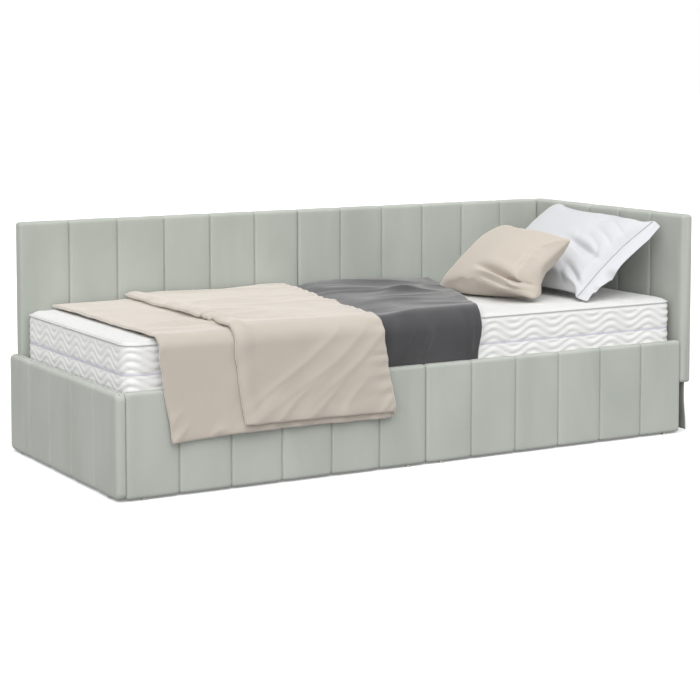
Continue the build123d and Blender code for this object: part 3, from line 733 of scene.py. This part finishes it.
# %% Mattress skin
TOP_COLUMNS, TOP_ROWS, BORDER_ROWS = 176, 150, 44
sides = [np.linspace(-half, half, n) for half, n in zip(mattress_half, (TOP_COLUMNS, TOP_ROWS))]
flat_x, flat_y = round_corners(*np.meshgrid(*sides), mattress_half, MATTRESS_CORNER)
depth_in = inside_distance(flat_x, flat_y)
rise = np.sqrt(1 - (1 - np.clip(depth_in / 0.034, 0, 1)) ** 2)
top_wave = TOP_SWING * np.sin(2 * math.pi * flat_x / TOP_WAVE)
top_ridges = ridge((flat_y + top_wave) / TOP_PITCH) * ramp(depth_in, 0.004, 0.03)
swell = 0.0008 * lumps(flat_x / 0.2 + 9, flat_y / 0.15 + 9, 70)
lift = (SEAM_DROP - 0.0068) * rise + 0.0064 * top_ridges + swell * rise
seam_high, seam_low = mattress_high[2] - SEAM_DROP, mattress_low[2] + SEAM_DROP
top_skin = np.stack([flat_x, flat_y, seam_high + lift], -1)
bottom_skin = np.stack([flat_x, flat_y, seam_low - lift], -1)

loop = rim_loop(TOP_ROWS, TOP_COLUMNS)
edge = np.stack([flat_x.ravel()[loop], flat_y.ravel()[loop]], -1)
ahead = unit(np.roll(edge, -1, axis=0) - np.roll(edge, 1, axis=0))
edge_out = np.stack([ahead[:, 1], -ahead[:, 0]], -1)
edge_out *= np.sign((edge_out * edge).sum(1, keepdims=True))
step = np.linalg.norm(np.roll(edge, -1, axis=0) - edge, axis=1)
short_side = np.abs(ahead[:, 1]) > 0.7
turns = step / np.where(short_side, SHORT_WAVE, LONG_WAVE)
whole = round(turns.sum())
turns[short_side] *= (whole - turns[~short_side].sum()) / turns[short_side].sum()
turns_round = np.concatenate([[0], np.cumsum(turns)])
crest_x = 0.733  # a crest on the front border, from the mattress's middle
front = np.argmin(np.where(edge[:, 1] < 0, np.abs(edge[:, 0] - crest_x), 9))
wave_turn = turns_round[:-1] - turns_round[front]

border_t = np.linspace(0, 1, BORDER_ROWS + 2)[1:-1, None]
border_z = seam_low + border_t * (seam_high - seam_low)
swing = WAVE_SWING * np.cos(2 * math.pi * wave_turn)[None, :]
middle_z = (seam_low + seam_high) / 2
to_seam = np.minimum(border_z - seam_low, seam_high - border_z)
from_zip = np.abs(border_z - middle_z)
fullness = ramp(to_seam, 0.0, 0.016)
border_ridges = ridge((border_z - middle_z - swing) / RIDGE_PITCH)
at_end = short_side * ahead[None, :, 1] ** 2  # 1 on the two short sides, where the waves are flatter
bow = 0.0025 * np.sqrt(np.maximum(1 - (2 * border_t - 1) ** 4, 0))
zip_groove = 0.0042 * bell(from_zip, 0.005)
stand = bow - 0.0050 + RIDGE_HEIGHT * (1 - 0.45 * at_end) * border_ridges * fullness - zip_groove
border_x, border_y = (edge[:, k] + edge_out[:, k] * stand for k in range(2))
border = np.stack([border_x, border_y, border_z + 0 * stand], -1)

# %% Join the three panels
per_skin = TOP_ROWS * TOP_COLUMNS
around = len(loop)
border_ids = 2 * per_skin + np.arange(BORDER_ROWS * around).reshape(BORDER_ROWS, around)
stack = np.concatenate([(loop + per_skin)[None, :], border_ids, loop[None, :]])
right = np.roll(stack, -1, axis=1)
border_quads = np.stack([stack[:-1], right[:-1], right[1:], stack[1:]], -1).reshape(-1, 4)
top_quads = grid_quads(TOP_ROWS, TOP_COLUMNS)
mattress_points = np.concatenate([skin.reshape(-1, 3) for skin in (top_skin, bottom_skin, border)])
mattress_points[:, :2] += mattress_middle[:2]
mattress_faces = np.concatenate([top_quads, top_quads[:, ::-1] + per_skin, border_quads])
run_round = np.concatenate([[0], np.cumsum(step)])[:-1]
flat_uv = cloth_uv(flat_x, flat_y)
mattress_uv = np.concatenate([flat_uv, flat_uv, cloth_uv(run_round[None, :], border_z)])
mattress = new_piece("mattress_quilted", mattress_points, mattress_faces, finish["border_knit"], mattress_uv)
# The top and bottom panels take the darker copy of the knit, painted shade against the light from above.
mattress.data.materials.append(finish["top_knit"])
which = np.zeros(len(mattress_faces), np.int32)
which[: 2 * len(top_quads)] = 1
mattress.data.polygons.foreach_set("material_index", which)
stand_for(mattress, "mattress", ("mattress_cover",))
print("mattress:", len(mattress_faces), "faces,", turns_round[-1], "waves round the border")

# %% Piping


def piping_ring(name, z, radius):
    """Tube along the outline at height z: a circle of 8 points carried round every second outline point."""
    outwards = edge_out[::2]
    centre = edge[::2] + mattress_middle[:2] + outwards * 0.0005
    turn = np.arange(8) / 8 * 2 * math.pi
    out = outwards[:, None, :] * np.cos(turn)[None, :, None] * radius
    up = np.broadcast_to(z + radius * np.sin(turn)[None, :, None], (*out.shape[:2], 1))
    points = np.concatenate([centre[:, None, :] + out, up], -1)
    uv = cloth_uv(run_round[::2][:, None], turn[None, :] * radius)
    ring = new_piece(name, points, grid_quads(len(centre), 8, True, True), finish["piping"], uv)
    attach(ring, "mattress")


for name, seam_z in (("mattress_piping_top", seam_high), ("mattress_piping_bottom", seam_low)):
    piping_ring(name, seam_z, radius=0.0017)

# %% [markdown]
# ## Places on the bed
# The soft furnishings are easiest to lay out from the bed's own corner: along from the inner face of the foot
# panel, and back from the outer face of the front rail. Heights count from the floor.

# %% Bed coordinates
BED_X, BED_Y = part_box("front_rail_left_cover")[0][:2]
BED_TOP = mattress_high[2]


def on_bed(along, back, height):
    """Points of the frame from bed coordinates."""
    along, back, height = np.broadcast_arrays(BED_X + along, BED_Y + back, height)
    return np.stack([along, back, height], -1)


# %% [markdown]
# ## Throw
# The throw lies under the duvet and is tucked down between mattress and rail. Its section is one rounded
# path, from the back of the bed, over the front edge and down. Across the bed that path is repeated out to a
# slanting right edge, and then bunched up towards the back, where the cloth has been pushed together.

# %% Throw path and outline
THROW_ROWS, THROW_COLUMNS = 190, 120
throw_back = 0.795
throw_left = 0.765
bend = np.array([0.0262, BED_TOP + 0.0035])
path, run = rounded_path([(throw_back, bend[1]), bend, (bend[0], 0.288)], [0.045], THROW_ROWS)
from_bend = run - run[np.linalg.norm(path - bend, axis=1).argmin()]
down_path = run[:, None]
back, height = path[:, :1], path[:, 1:]
from_front = np.maximum(back, 0.03)
uneven = 0.003 * lumps(down_path / 0.05, 0 * back, 80)
right_edge = 1.203 + 0.50 * from_front - 0.13 * from_front**2 + uneven
along = throw_left + (right_edge - throw_left) * np.linspace(0, 1, THROW_COLUMNS)[None, :]

# %% Throw folds
free = ramp(along, 0.89, 1.02)
flat_top = ramp(back, 0.05, 0.14)
down = BED_TOP - height
on_rail = ramp(height, 0.320, 0.400)
slack = 0.012 * on_rail  # the cloth lies loose, so it bends over the edge in a wide curve
folds = 0.020 * bell(back - 0.75, 0.085) * (1 - ramp(along, 1.28, 1.5)) * ramp(along, 0.92, 1.08)
throw_folds = (  # height, place on the bed back and along, slant, width, length
    (0.015, 0.5725, 1.15, 0.55, 0.045, 0.17),
    (0.014, 0.5245, 1.27, -0.35, 0.040, 0.14),
    (0.008, 0.2950, 1.12, 0.25, 0.040, 0.13),
    (0.006, 0.1800, 1.20, 0.45, 0.035, 0.10),
)
for size, at_back, at_along, slant, width, length in throw_folds:
    off = along - at_along
    folds += size * bell(back - at_back + slant * off, width) * bell(off, length)
folds += 0.004 * creases(along, down_path, 22, 0.25, 0.10, 81)
folds += 0.003 * lumps(along / 0.12, down_path / 0.12, 83)
hang = 0.0025 * lumps(along / 0.07 + 2 * down, down / 0.2, 86)
hanging_folds = ((0.005, 0.985, 0.30), (0.004, 1.045, 0.26), (0.004, 1.175, -0.10), (0.003, 0.935, 0.2))
for size, place, slant in hanging_folds:  # depth, place along the edge of the bed, slant
    hang += size * bell(along - place + slant * down, 0.011)
hang = (1 - flat_top) * ramp(down, 0.0, 0.05) * ramp(height, 0.318, 0.35) * hang
edge_lift = 0.003 * bell(along - right_edge, 0.02) * flat_top
bend_lift = 0.0120 * bell(from_bend[:, None], 0.070)
away = free * (slack + flat_top * folds + hang) + edge_lift + bend_lift

# %% Throw piece
heading = unit(np.gradient(path, axis=0))
middle = on_bed(along, back + heading[:, 1:] * away, height - heading[:, :1] * away)
throw = sheet_piece("throw_fleece", middle, 0.0028, finish["fleece"], along, down_path)
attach(throw, "throw")
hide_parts("throw")

# %% [markdown]
# ## Duvet
# The duvet is folded in two, so its section across the bed is a long narrow U lying on its side: the lower
# layer runs right, turns over in a small roll, and the upper layer comes back. The whole U follows the path
# over the bed and down outside the rail. The lower layer hangs a little lower than the upper one.

# %% Duvet layout
DUVET_ROWS = 200
LAYER = 0.0115  # thickness of one layer
LOWER_COLUMNS, ROLL_COLUMNS, UPPER_COLUMNS = 84, 9, 66
outside_rail = -LAYER - 0.004
duvet_top = BED_TOP + 0.005 + LAYER
path_low = 0.13
corners = [(0.812, duvet_top), (outside_rail, duvet_top), (outside_rail, path_low)]
path, run = rounded_path(corners, [0.045], DUVET_ROWS)
turned = unit(np.gradient(path, axis=0))
path_out = np.stack([turned[:, 1], -turned[:, 0]], -1)  # away from the bed: up on top, forwards on the drop
top_run = 0.78
full_run = run[-1]


def edge_line(on_top, at_bend, at_hem, t):
    """Place of a duvet edge along the bed: eased from its place on top to the bend, and on to the hem."""
    first = ramp(t, -0.25 * top_run, top_run)
    second = ramp(t, top_run + 0.03, full_run)
    return on_top + (at_bend - on_top) * first + (at_hem - at_bend) * second


# %% Duvet columns: lower layer, roll, upper layer
part = np.repeat(np.arange(3), (LOWER_COLUMNS, ROLL_COLUMNS, UPPER_COLUMNS))[None, :]
is_lower, is_upper = part == 0, part == 2
roll_t = np.linspace(0, 1, ROLL_COLUMNS + 2)[1:-1]
within = np.concatenate([np.linspace(0, 1, LOWER_COLUMNS), roll_t, np.linspace(0, 1, UPPER_COLUMNS)])[None, :]


def by_part(lower, roll, upper):
    """Picks each column's value by the part of the folded duvet it lies in."""
    return np.where(is_lower, lower, np.where(is_upper, upper, roll))


# %% Duvet surface
roll_turn = math.pi * (within - 0.5)
over = by_part(0.0, within, 1.0)

low_hem_z = 0.160 + 0.010 * ramp(within, 0.0, 0.35) - 0.004 * ramp(within, 0.5, 1)
up_hem_z = 0.194 - 0.008 * (1 - within)
hem_z = by_part(low_hem_z, low_hem_z * (1 - over) + 0.186 * over, up_hem_z)
t_run = np.linspace(0, 1, DUVET_ROWS)[:, None] * (full_run - (hem_z - path_low))
at = [np.interp(t_run, run, values) for values in (path[:, 0], path[:, 1], path_out[:, 0], path_out[:, 1])]

left_low = edge_line(0.100, 0.100, 0.137, t_run)
left_up = edge_line(0.358, 0.334, 0.366, t_run)
right_side = edge_line(0.950, 0.832, 0.876, t_run)
half_gap = LAYER / 2 + 0.0003
lower_along = left_low + (right_side - left_low) * within
upper_along = right_side - (right_side - left_up) * within
along = by_part(lower_along, right_side + half_gap * np.cos(roll_turn), upper_along)
stand = by_part(-half_gap, half_gap * np.sin(roll_turn), half_gap)

on_drop = ramp(t_run, top_run - 0.02, top_run + 0.08)
near_bend = bell(t_run - top_run + 0.09, 0.09)
low_drop = ramp(t_run, top_run + 0.12, full_run)
shared = 0.0060 * lumps(along / 0.20, t_run / 0.24, 90) + 0.0020 * lumps(along / 0.07, t_run / 0.07, 91)
left_share = 1 - 0.5 * ramp(along, 0.35, 0.5)
shared += 0.0110 * near_bend * creases(along, t_run, 8, 0.30, 0.045, 92) * left_share
shared += 0.0075 * low_drop * creases(along, -t_run, 48, 0.24, 0.050, 94)
shared += 0.0042 * on_drop * (1 - low_drop) * creases(along, -t_run, 38, 0.34, 0.060, 96)
for place in (0.60, 0.635, 0.675):  # three long creases where the lower layer is pulled over the edge
    shared += 0.012 * bell(t_run - place - 0.12 * (along - 0.25), 0.011) * bell(along - 0.27, 0.11)
upper_only = 0.007 * (1 - on_drop) * creases(along, t_run, 18, 0.30, 0.10, 98)
upper_only += 0.005 * lumps(along / 0.13, t_run / 0.16, 99) ** 2
pull = bell(along - right_side, 0.05)
pucker = 0.0018 * pull * np.sin(t_run / 0.0085 + 4 * lumps(t_run / 0.05, 0 * t_run, 100))
shift = np.maximum(shared, -0.0012) * (0.75 + 0.25 * on_drop)
shift = shift + np.where(is_upper, upper_only, 0) + pucker * (1 - is_lower)
flare = 0.010 * low_drop**2 * (0.4 + 0.6 * lumps(along / 0.12, 0 * t_run, 101) ** 2)

# %% Duvet thickness
from_left = by_part(within * 0.78, 1.0, (1 - within) * 0.53)
from_back = np.linspace(0, 1, DUVET_ROWS)[:, None] * full_run
from_edge = np.minimum(np.minimum(from_left, full_run - from_back), from_back)
edge_roll = 0.008 * bell(from_left - 0.028, 0.024) * is_upper  # filling pushed up along the upper left edge
thickness = 0.0050 + (LAYER - 0.0050) * np.sqrt(ramp(from_edge, -0.002, 0.020)) + edge_roll

# %% Duvet piece
away = stand + shift + flare + edge_roll / 2
wander = 0.0015 * lumps(t_run / 0.04, 0 * along, 102)
middle = on_bed(along + wander, at[0] + at[2] * away, at[1] + at[3] * away)
duvet = sheet_piece("duvet_folded", middle, thickness, finish["duvet_cotton"], along + 2 * over, t_run)
stand_for(duvet, "duvet", ("duvet_cover", "duvet_filling"))
print("duvet:", len(duvet.data.polygons), "faces")

# %% [markdown]
# ## Pillows
# A pillow is two flat rectangles sewn together and blown up from inside. Its sides pull in between the
# corners by themselves, because cloth that bulges one way has to be shorter the other way. So the blank is
# inflated with Blender's cloth, gravity off, and only then leant back, pressed against what it rests on, and
# creased.

# %% Pillow blank
INFLATE_FRAMES = 22


def pillow_blank(length, width, columns, rows, plump, far_corner, flap):
    """Two grids over a rectangle, sewn along the rim and along a line one flap in from the near side.

    Height: plump x ((1 - u^2)(1 - v^2))^0.55 up and down over the stuffed part, and nothing over the flap.
    The four corners are rounded as the mattress outline is, the far upper one by its own radius.
    """
    half = np.array([length, width]) / 2
    over_flap = flap * np.array([0, 0.2, 0.4, 0.6, 0.8, 0.9, 0.96]) if flap else np.zeros(0)
    inner = np.linspace(0, 1, rows - len(over_flap))
    inner = inner - 0.4 * np.sin(2 * math.pi * inner) / (2 * math.pi)
    v = np.concatenate([over_flap, flap + (width - flap) * inner]) / half[1] - 1
    u, v = np.meshgrid(np.linspace(-1, 1, columns), v)
    x, y = half[0] * u, half[1] * v
    radius = np.where((x > 0) & (y > 0), far_corner, 0.018)
    x, y = round_corners(x, y, half, radius)
    w = 2 * np.clip((v * half[1] + half[1] - flap) / (width - flap), 0, 1) - 1
    x, y = x * (1 - 0.045 * (1 - v * v)), y * (1 - 0.04 * (1 - u * u))
    sewn_down = 1 - 0.95 * bell((v + 1) * half[1] - flap, 0.0055)
    z = plump * ((1 - u * u) * (1 - w * w)) ** 0.55 + 0.0050 * (1 - u**8) * (1 - v**8) * sewn_down
    count = rows * columns
    back_ids = np.arange(count) + count
    rim = rim_loop(rows, columns)
    back_ids[rim] = rim
    quads = grid_quads(rows, columns)
    faces = np.concatenate([quads, back_ids[quads][:, ::-1]])
    points = np.concatenate([np.stack([x, y, side * z], -1).reshape(-1, 3) for side in (1, -1)])
    used = np.unique(faces)
    new_number = np.zeros(2 * count, int)
    new_number[used] = np.arange(len(used))
    uv = np.concatenate([cloth_uv(x, y), cloth_uv(x + 1, y)])
    return points[used], new_number[faces], uv[used]


def inflate(points, faces, cap):
    """Cloth simulation of a closed skin under pressure, gravity off; no point moves further than its cap."""
    mesh = bpy.data.meshes.new("blank")
    mesh.from_pydata(points, [], faces)
    blank = bpy.data.objects.new("blank", mesh)
    scene.collection.objects.link(blank)
    settings = blank.modifiers.new("cloth", "CLOTH").settings
    settings.use_pressure = True
    settings.uniform_pressure_force = 3.0
    settings.effector_weights.gravity = 0
    settings.mass = 0.2
    settings.tension_stiffness = settings.compression_stiffness = 25
    settings.shear_stiffness = 8
    settings.bending_stiffness = 0.4
    for number in range(1, INFLATE_FRAMES + 1):
        scene.frame_set(number)
    done = blank.evaluated_get(bpy.context.evaluated_depsgraph_get()).data
    moved = np.zeros(len(points) * 3, np.float32)
    done.vertices.foreach_get("co", moved)
    bpy.data.objects.remove(blank)
    bpy.data.meshes.remove(mesh)
    scene.frame_set(1)
    travel = moved.reshape(-1, 3) - points
    distance = np.linalg.norm(travel, axis=1)
    print("inflated by up to", round(float(distance.max()), 4), "m")
    return points + travel * np.minimum(1, cap / np.maximum(distance, 1e-9))[:, None]


# %% Leaning and pressing
head_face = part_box("head_panel_cover")[0][0]


def soft_floor(value, floor_value, softness):
    """Keeps a value above a floor, with a rounded transition: floor plus softplus of what is above it."""
    x = (value - floor_value) / softness
    return floor_value + softness * np.logaddexp(0, x)


def lean(points, centre, degrees):
    """Turns a flat pillow about Y, its +X edge up, with its middle at a place, and presses it on the bed."""
    c, s = math.cos(math.radians(degrees)), math.sin(math.radians(degrees))
    x, y, z = points.T
    turned = np.stack([x * c - z * s, y, x * s + z * c], -1) + on_bed(*centre).reshape(3)
    turned[:, 2] = soft_floor(turned[:, 2], BED_TOP + 0.003, 0.005)
    return turned


def pillow_piece(body, points, faces, uv, material):
    """Makes the pillow, with one level of subdivision to smooth it."""
    piece = new_piece(body + "_stuffed", points, faces, material, uv)
    smooth = piece.modifiers.new("smooth", "SUBSURF")
    smooth.levels = smooth.render_levels = 1
    stand_for(piece, body, (body + "_case", body + "_filling"))


def sink_into(z, depth):
    """Lowers the upper skin by a depth, less where the pillow is thin."""
    return np.where(z > 0, z - depth * np.clip(z / 0.03, 0, 1), z)


def thread_line(name, body, line, radius):
    """Tube along an open line: at each point a circle of 6 points, across the line's direction."""
    forward = unit(np.gradient(line, axis=0))
    side = unit(np.cross(forward, (0, 0, 1)))
    up = np.cross(side, forward)
    turn = (np.arange(6) / 6 * 2 * math.pi)[None, :, None]
    circle = np.cos(turn) * side[:, None] + np.sin(turn) * up[:, None]
    points = (line + up * radius)[:, None, :] + radius * circle
    # The thread is real, but its dark grey is painted shade standing in for the shadow in the stitched
    # groove.
    thread = new_piece(name, points, tube_faces(len(line), 6), finish["thread_grey"])
    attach(thread, body)


# %% White pillow
FLAP = 0.048  # the open end of the case, past the line of stitching
NEAR_EDGE = -0.32
WHITE_COLUMNS = 58
STITCHED_ROW = 7  # the first row of the blank past the flap
points, faces, uv = pillow_blank(
    length=0.44, width=-2 * NEAR_EDGE, columns=WHITE_COLUMNS, rows=90, plump=0.046, far_corner=0.03, flap=FLAP
)
stuffed = ramp(points[:, 1], NEAR_EDGE + FLAP, NEAR_EDGE + FLAP + 0.03)
points = inflate(points, faces, cap=0.022 * stuffed)
px, py, pz = points.T.copy()
groove = 0.024 * bell(px + 0.005 - 0.23 * (py + 0.03), 0.013) * bell(py + 0.15, 0.09)
groove += 0.020 * bell(px + 0.14 - 0.5 * (py + 0.20), 0.012) * bell(py + 0.21, 0.05)
groove += 0.007 * creases(px, py, 60, 0.14, 0.05, 110) * ramp(-py, 0.0, 0.2)
pz = sink_into(pz, groove)
flap = 1 - ramp(py, NEAR_EDGE + FLAP, NEAR_EDGE + FLAP + 0.012)
outer = flap * ramp(-py, -NEAR_EDGE - FLAP, -NEAR_EDGE)
fold = bell(px + 0.075, 0.014) + 0.8 * bell(px + 0.155, 0.012)
pz = pz + outer * (0.012 * np.sin(px / 0.030 + 1) * ramp(-px, -0.05, 0.15) - 0.020) - 0.020 * outer * fold
py = py + outer * (0.018 * fold + 0.020 * ramp(px, 0.12, 0.22))
near_top = ramp(px, 0.0, 0.22) * ramp(-py, 0.05, 0.32)
far_top = ramp(px, 0.0, 0.22) * ramp(py, 0.05, 0.32)
px = px - 0.030 * near_top + 0.012 * far_top
points = lean(np.stack([px, py, pz], -1), centre=(1.842, 0.385, 0.598), degrees=37)
points[:, 0] = head_face - 0.004 - soft_floor(head_face - 0.004 - points[:, 0], 0, 0.005)
# Thread along the stitched line: real stitching, with its dark grey painted shade of the groove.
stitched = points[STITCHED_ROW * WHITE_COLUMNS + 1 : (STITCHED_ROW + 1) * WHITE_COLUMNS - 1]
thread_line("white_pillow_stitching_shade", "white_pillow", stitched, 0.0012)
pillow_piece("white_pillow", points, faces, uv, finish["white_cotton"])

# %% Beige pillow
points, faces, uv = pillow_blank(
    length=0.36, width=0.45, columns=60, rows=66, plump=0.060, far_corner=0.095, flap=0.0
)
points = inflate(points, faces, cap=0.011)
px, py, pz = points.T.copy()
line = px + 0.083 - 0.10 * py
reach_in = ramp(py, -0.24, -0.15) * (1 - ramp(py, -0.10, 0.04))
groove = 0.028 * bell(line, 0.008) + 0.016 * bell(line + 0.030, 0.007) * ramp(-py, -0.02, 0.08)
groove = groove - 0.016 * bell(line + 0.022, 0.012) - 0.006 * bell(line - 0.03, 0.02)
groove = groove * reach_in + 0.004 * bell(py + 0.165 + 0.10 * px, 0.005) * ramp(px, -0.08, -0.02)
pz = sink_into(pz, groove)
slump = ramp(-px, -0.04, 0.17) * ramp(-py, -0.08, 0.20)  # the low corner nearest the front is pushed under
behind = 1 - 0.85 * np.clip(pz / 0.035, 0, 1)
near_top = ramp(px, 0.0, 0.18) * ramp(-py, 0.0, 0.22)
px = px + 0.085 * slump * behind - 0.018 * near_top
pz = pz - 0.055 * slump * behind - 0.004 * near_top
points = lean(np.stack([px, py, pz], -1), centre=(1.548, 0.358, 0.568), degrees=39)
pillow_piece("beige_pillow", points, faces, uv, finish["beige_linen"])
